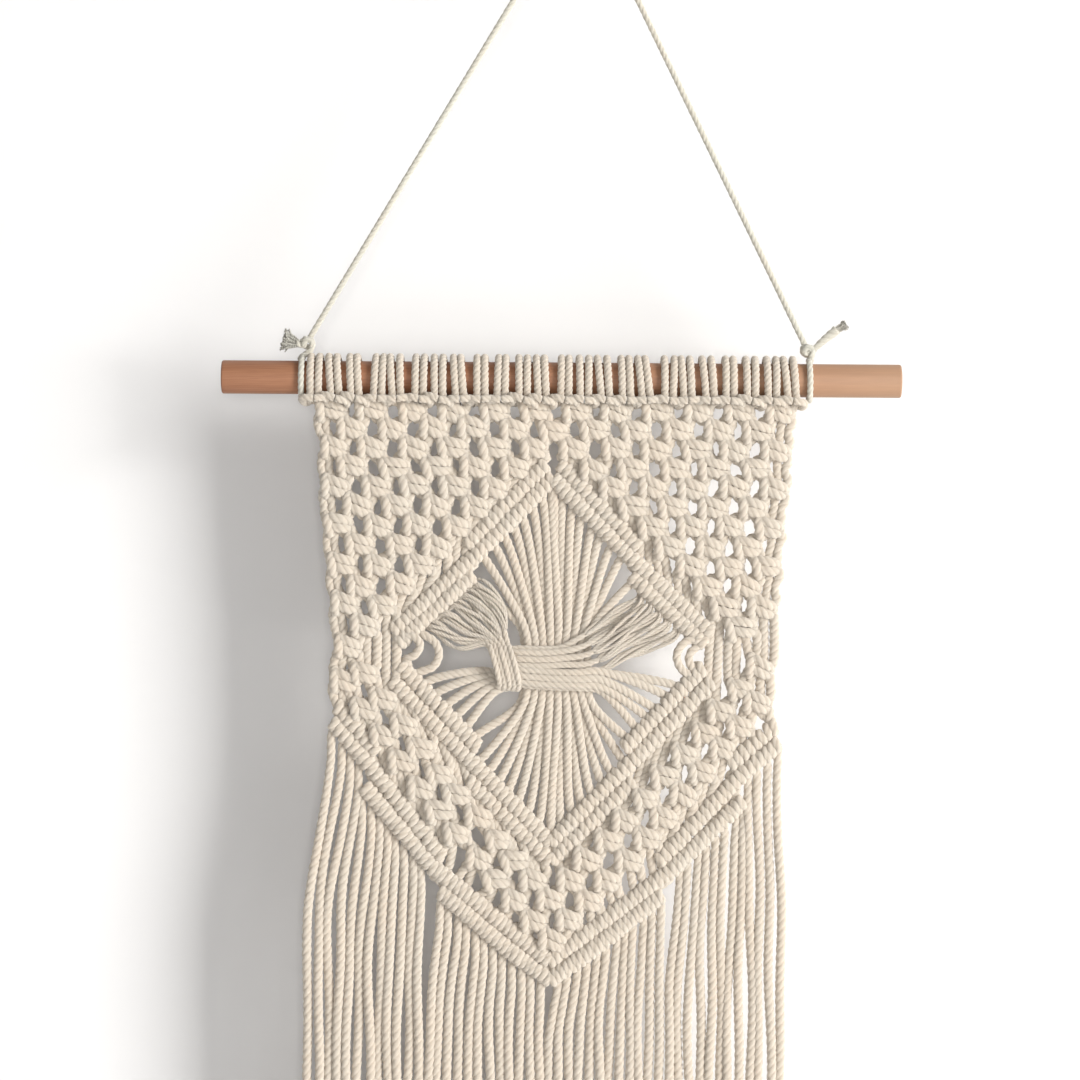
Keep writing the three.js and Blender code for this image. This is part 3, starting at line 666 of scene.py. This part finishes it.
def fringe_route(s, top):
    """Strand s from the V's lowest bar to its cut end, a little wavy from its twist."""
    side, k = mirrored(s)
    x0, down0 = top[:2]
    end = FRINGE["end"] + rng.uniform(-1, 1) * FRINGE["uneven"]
    phase = rng.uniform(0, 2 * np.pi, 3)
    lean = rng.normal(0, FRINGE["lean"][0] + FRINGE["lean"][1] * (side > 0))
    drift = FRINGE["drift"][0] + FRINGE["drift"][1] * k / HALF_STRANDS
    (long, long_run), (short, short_run), (deep, deep_run) = WAVES.values()
    route = []
    for down in np.arange(down0 + FRINGE["step"], end + 1, FRINGE["step"]):
        share = (down - down0) / (end - down0)
        settled = min(1.0, (down - down0) / drift)
        settled = settled * settled * (3 - 2 * settled)
        x = x0 + (FRINGE["first"] + FRINGE["pitch"] * s - x0) * settled
        wave = long * math.sin(down / long_run + phase[0]) * min(1, 4 * share)
        wave += short * math.sin(down / short_run + phase[1]) * min(1, 6 * share)
        front = deep * math.sin(down / deep_run + phase[2]) * min(1, 4 * share)
        route.append((x + wave + lean * share, down, front,
                      1 + (THICK["fringe"] - 1) * min(1, 6 * share)))
    return route


def in_world(route):
    """A route in panel coordinates, in the part's own."""
    return [(PANEL["x"] + x, PANEL["y"] - front, ROD["z"] - down, *thick)
            for x, down, front, *thick in route]


def loosened(route, seed):
    """The split plies of a strand where it has come untwisted, wavering round its own route."""
    own = np.random.default_rng(seed)
    loose = np.flatnonzero(route[:, 3] < LOOSE_UNDER)
    first, last = max(loose[0] - 8, 0), min(loose[-1] + 9, len(route))
    line = route[first:last, :3]
    share = np.linspace(0, 1, len(line))[:, None]
    swell = np.sin(np.pi * share) ** 0.7
    forward = np.gradient(line, axis=0)
    forward /= np.linalg.norm(forward, axis=1)[:, None]
    sideways = np.cross(forward, (0, 1, 0))
    plies = []
    for i in range(LOOSE_PLIES):
        turned = i / LOOSE_PLIES + own.uniform(0.3, 0.8) * share + own.uniform(0, 0.15)
        angle = 2 * np.pi * turned
        away = own.uniform(0.9, 2.4)
        reach = 0.9 + swell * (away + 0.4 * np.sin(share * own.uniform(8, 16) + own.uniform(0, 6)))
        off = (sideways * np.cos(angle) * reach
               + np.array((0, 1, 0)) * np.sin(angle) * reach * 0.7)
        plies.append(np.c_[line + off, 0.86 + 0.3 * swell])
    return plies


heads, panel, fringe, loose_plies = [], [], [], []
for s in range(STRANDS):
    body = panel_route(s)
    bars = v_route(s)
    tail = fringe_route(s, bars[-1])
    whole = smooth_route(head_route(s) + in_world(body + bars + tail), STEP)
    # The strand is parted where it leaves its lark's head and where it meets the V.
    knot_start, bar_start = (
        int(np.argmin(np.linalg.norm((whole - in_world(part[:1])[0])[:, :3], axis=1)))
        for part in (body, bars))
    heads.append(whole[:knot_start + 1])
    panel.append(whole[knot_start:bar_start + 1])
    fringe.append(whole[bar_start:])
    if (whole[:, 3] < LOOSE_UNDER).any():
        loose_plies += loosened(whole, s)


def laid(name, routes, pitch, node):
    """A piece of whole strands that takes the place of a CAD node."""
    piece = swept(name, routes, STRAND, pitch, cotton_white)
    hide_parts(node)


PIECE_STRANDS = 12  # the strands of one piece of the panel
laid("larks_heads", heads, PITCH["head"], "heading")
for first in range(0, STRANDS, PIECE_STRANDS):
    last = first + PIECE_STRANDS
    laid(f"knotted_strands_{first}_{last - 1}", panel[first:last], PITCH["knot"], "knotted_panel")
laid("fringe_strands_left", fringe[:HALF_STRANDS], PITCH["fringe"], "fringe_left")
laid("fringe_strands_right", fringe[HALF_STRANDS:], PITCH["fringe"], "fringe_right")

piece = swept("loose_plies", loose_plies, LOOSE_PLY, PITCH["ply"], cotton_white)
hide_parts("knotted_panel")

# Each bar's holding cord, which the hitches cover.
HOLDING_CORD = {"thick": 3.0, "step": 2.4}
cores = {"knotted_panel": [], "fringe_left": [], "fringe_right": []}
for bar in UPPER_BARS + LOWER_BARS + V_BARS:
    for side, fringe_node in ((-1, "fringe_left"), (1, "fringe_right")):
        points = [(side * out, down, 0.0) for out, down in bar_points(bar, side)]
        node = fringe_node if bar in V_BARS else "knotted_panel"
        cores[node].append(smooth_route(in_world(points), HOLDING_CORD["step"]))
for node, routes in cores.items():
    piece = swept(f"holding_cords_{node}", routes, HOLDING_CORD["thick"], PITCH["knot"],
                  cotton_white)
    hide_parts(node)

# ---- ties ----
# At each end the hanging cord takes one turn round the rod and is knotted above it. Its
# free end swells as it untwists, then frays into a tuft.
TIES = {
    "left": {"turn": -132.7, "knot": (-129.9, -210.6), "spread": 5.2, "seed": 4,
             "tail": [(-131.5, -211.6, 1.0), (-135.2, -210.6, 1.5)], "tip": (-141.8, -208.8)},
    "right": {"turn": 111.0, "knot": (110.0, -212.8), "spread": 2.0, "seed": 5,
              "tail": [(111.5, -213.2, 1.0), (117.0, -208.2, 1.25), (124.0, -202.6, 1.7)],
              "tip": (128.4, -199.8)},
}
# Right, towards the wall and up from the tie's knot, along its cord.
TIE_KNOT = [
    (1.6, -1.4, -3.2), (2.2, -2.2, 0.0), (0.0, -1.8, 2.0), (-2.2, 0.4, 1.4), (-1.8, 2.0, -1.0),
    (0.6, 2.0, -1.8), (2.4, 0.0, -0.6), (1.4, -2.4, 1.6), (-1.2, -2.6, 1.0), (-1.8, -1.6, -1.0)]
TIE_LEAD = 0.9  # how far the turn round the rod shifts along it
FREE_END_Y = -1.0
TUFT = {"thick": 0.7, "pitch": 4.0, "hairs": 120}


def frayed(start, end, spread, count, seed):
    """Fine fibres that fan out from a free end."""
    own = np.random.default_rng(seed)
    start, end = np.array(start), np.array(end)
    way = end - start
    sideways = np.cross(way / np.linalg.norm(way), (0, 1, 0))
    hairs = []
    for _ in range(count):
        out, forward, reach = own.uniform((-1, -1, 0.6), (1, 1, 1.05))
        off = sideways * out + np.array((0, forward, 0))
        stray = sideways * own.normal(0, 0.5)
        points = [start - way * 0.3 + off * 1.2,
                  start + way * reach * 0.5 + off * spread * 0.5 + stray,
                  start + way * reach + off * spread - stray]
        hairs.append(smooth_route(points, STEP))
    return hairs


turn_radius = ROD["radius"] + HANGER / 2
for name, tie in TIES.items():
    side = -1 if name == "left" else 1
    kx, kz = tie["knot"]
    turn = [(tie["turn"] + side * TIE_LEAD * (a / 360 - 0.5),
             -turn_radius * math.sin(math.radians(a)),
             ROD["z"] + turn_radius * math.cos(math.radians(a))) for a in range(0, 361, 30)]
    knot = [(kx + right, back, kz + up) for right, back, up in TIE_KNOT]
    free = [(x, FREE_END_Y, z, thick) for x, z, thick in tie["tail"]]
    route = smooth_route([(*point, 1.0) for point in turn + knot] + free, STEP)
    piece = swept(f"tie_{name}_cord", [route], HANGER, HANGER_PITCH, cotton_grey)
    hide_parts(f"tie_{name}")
    tip = (tie["tip"][0], FREE_END_Y, tie["tip"][1])
    hairs = frayed(free[-1][:3], tip, tie["spread"], TUFT["hairs"], tie["seed"])
    piece = swept(f"tie_{name}_tuft", hairs, TUFT["thick"], TUFT["pitch"], cotton_grey)
    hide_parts(f"tie_{name}")

# ---- light and stage ----
# A pale wall just behind the hanging and a pale floor below it, neither part of the object.
# A tall window lights them softly from the right, and the room behind the viewer a little.
PLAIN_FINISH = {"Roughness": 0.9, "Specular IOR Level": 0.1}
WALL_PAINT, FLOOR_PAINT = (0.88, 0.875, 0.88), (0.8, 0.8, 0.8)
WALL_Y, FLOOR_Z = 0.062, -1.25
LAMP_COLOUR, ROOM_COLOUR = (1.0, 0.99, 0.965), (1.0, 0.985, 0.98)
ROOM_STRENGTH = 0.12
LIT_MIDDLE = (0, 0, -0.4)


def plain(name, colour):
    made, shader, _ = material(name)
    shader.inputs["Base Color"].default_value = (*colour, 1)
    for slot, value in PLAIN_FINISH.items():
        shader.inputs[slot].default_value = value
    return made


def sheet(name, size, place, turn, finish):
    shape = bmesh.new()
    bmesh.ops.create_grid(shape, x_segments=1, y_segments=1, size=size)
    tipped = Matrix.Rotation(math.radians(turn), 3, "X")
    bmesh.ops.rotate(shape, verts=shape.verts, matrix=tipped)
    bmesh.ops.translate(shape, verts=shape.verts, vec=place)
    built(name, shape, finish)


wall_paint = plain("wall paint", WALL_PAINT)
# The wall is seen only from its front, so that the back of the hanging can be looked at.
tree = wall_paint.node_tree
behind = Shade(tree, tree.nodes.new("ShaderNodeNewGeometry").outputs["Backfacing"])
clear = tree.nodes.new("ShaderNodeBsdfTransparent")
either = tree.nodes.new("ShaderNodeMixShader")
Shade.feed(tree, either.inputs[0], behind)
tree.links.new(tree.nodes["Principled BSDF"].outputs[0], either.inputs[1])
tree.links.new(clear.outputs[0], either.inputs[2])
tree.links.new(either.outputs[0], tree.nodes["Material Output"].inputs[0])
sheet("wall", 2.2, (0, WALL_Y, 0.2), 90, wall_paint)
sheet("floor", 4.0, (0, 0, FLOOR_Z), 0, plain("pale floor", FLOOR_PAINT))


def lamp(name, way, distance, width, height, power):
    """A rectangular light this far off in a direction from the middle of the hanging."""
    light = bpy.data.lights.new(name, "AREA")
    light.shape, light.size, light.size_y = "RECTANGLE", width, height
    light.energy, light.color = power, LAMP_COLOUR
    made = placed(name, light)
    way = Vector(way).normalized()
    made.location = Vector(LIT_MIDDLE) + way * distance
    made.rotation_euler = way.to_track_quat("Z", "Y").to_euler()


lamp("tall window", (0.72, -0.68, 0.18), 4.0, 1.5, 2.6, 172)
lamp("room behind the viewer", (-0.006, -1, 0.032), 3.0, 0.5, 0.5, 23)

world = bpy.data.worlds.new("room")
world.use_nodes = True
background = world.node_tree.nodes["Background"]
background.inputs[0].default_value = (*ROOM_COLOUR, 1)
background.inputs[1].default_value = ROOM_STRENGTH
bpy.context.scene.world = world
bpy.context.scene.view_settings.view_transform = "Standard"
